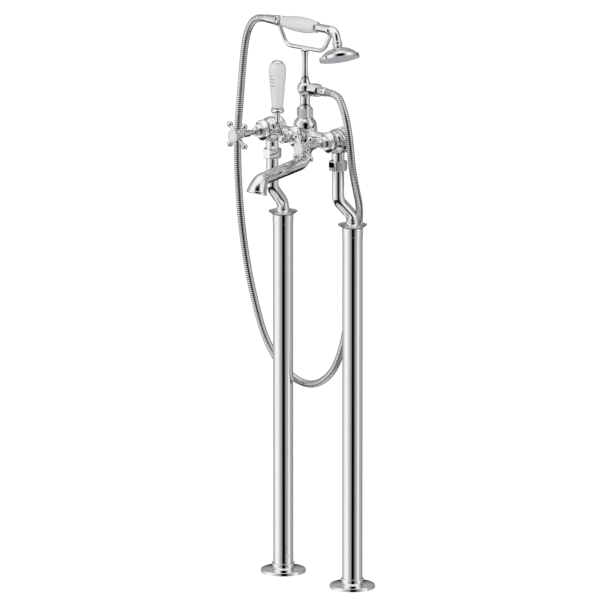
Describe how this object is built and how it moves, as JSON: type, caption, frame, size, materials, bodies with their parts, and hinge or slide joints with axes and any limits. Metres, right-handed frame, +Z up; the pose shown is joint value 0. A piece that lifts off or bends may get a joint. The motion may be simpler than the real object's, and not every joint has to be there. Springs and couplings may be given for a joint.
{
  "type": "floor standing bath filler",
  "caption": "Freestanding bath filler: two floor standpipes, cranked legs, mixer body with cross handles, ceramic diverter lever, fixed spout, cradle, hand shower and ribbed hose.",
  "frame": {"origin": "on the floor, midway between the two standpipes", "axes": "+X from the left (hot) standpipe to the right (cold) one, handles and spout face -Y, +Z up"},
  "size_m": [0.336, 0.2339, 1.0806],
  "materials": {
    "chromed_brass": "polished chrome",
    "brass": "machined",
    "copper": "drawn copper tube",
    "steel": "satin",
    "white_ceramic": "glazed",
    "white_plastic": "moulded",
    "pale_plastic": "moulded",
    "fibre": "pressed fibre",
    "hose_metal": "ribbed chrome"
  },
  "bodies": {
    "root": {"floor_plate_left": "brass", "floor_cover_left": "chromed_brass", "inlet_socket_left": "brass", "riser_pipe_left": "copper", "standpipe_left": "chromed_brass", "top_collar_left": "chromed_brass", "top_flange_left": "chromed_brass", "cranked_leg_left": "chromed_brass", "union_nut_left": "chromed_brass", "valve_cartridge_left": "brass", "valve_bonnet_left": "chromed_brass", "gland_nut_left": "chromed_brass", "floor_plate_right": "brass", "floor_cover_right": "chromed_brass", "inlet_socket_right": "brass", "riser_pipe_right": "copper", "standpipe_right": "chromed_brass", "top_collar_right": "chromed_brass", "top_flange_right": "chromed_brass", "cranked_leg_right": "chromed_brass", "union_nut_right": "chromed_brass", "valve_cartridge_right": "brass", "valve_bonnet_right": "chromed_brass", "gland_nut_right": "chromed_brass", "union_washers": "fibre", "mixer_body": "chromed_brass", "diverter_cartridge": "brass", "diverter_bonnet": "chromed_brass", "spout": "chromed_brass", "spout_outlet": "chromed_brass", "flow_straightener": "white_plastic", "cradle_nut": "chromed_brass", "cradle_neck": "chromed_brass", "cradle_fork": "chromed_brass", "hose_nut": "chromed_brass", "hose_ferrule": "chromed_brass", "shower_hose": "hose_metal"},
    "hot_handle": {"valve_spindle_left": "chromed_brass", "cross_handle_left": "chromed_brass", "handle_screw_left": "steel", "index_ring_left": "chromed_brass", "index_disc_left": "white_ceramic"},
    "cold_handle": {"valve_spindle_right": "chromed_brass", "cross_handle_right": "chromed_brass", "handle_screw_right": "steel", "index_ring_right": "chromed_brass", "index_disc_right": "white_ceramic"},
    "lever": {"diverter_spindle": "chromed_brass", "diverter_lever": "chromed_brass", "lever_cap": "chromed_brass", "lever_ferrule": "chromed_brass", "lever_grip": "white_ceramic", "lever_top": "chromed_brass"},
    "handset": {"handset_body": "chromed_brass", "handset_grip": "white_ceramic", "grip_rings": "chromed_brass", "rose_collar": "chromed_brass", "rose_shell": "chromed_brass", "rose_plate": "pale_plastic", "hose_cone": "chromed_brass"}
  },
  "joints": [
    {"name": "hot_handle_turn", "type": "hinge", "parent": "root", "child": "hot_handle", "pos_m": [-0.085, -0.034, 0.859], "axis": [0, -1, 0], "range_deg": [0, 90]},
    {"name": "cold_handle_turn", "type": "hinge", "parent": "root", "child": "cold_handle", "pos_m": [0.085, -0.034, 0.859], "axis": [0, 1, 0], "range_deg": [0, 90]},
    {"name": "diverter_lever_turn", "type": "hinge", "parent": "root", "child": "lever", "pos_m": [0, -0.034, 0.859], "axis": [0, 1, 0], "range_deg": [-45, 45]},
    {"name": "handset_lift", "type": "slide", "parent": "root", "child": "handset", "axis": [0, 0, 1], "range_m": [0, 0.028], "deforming": ["shower_hose"]}
  ]
}
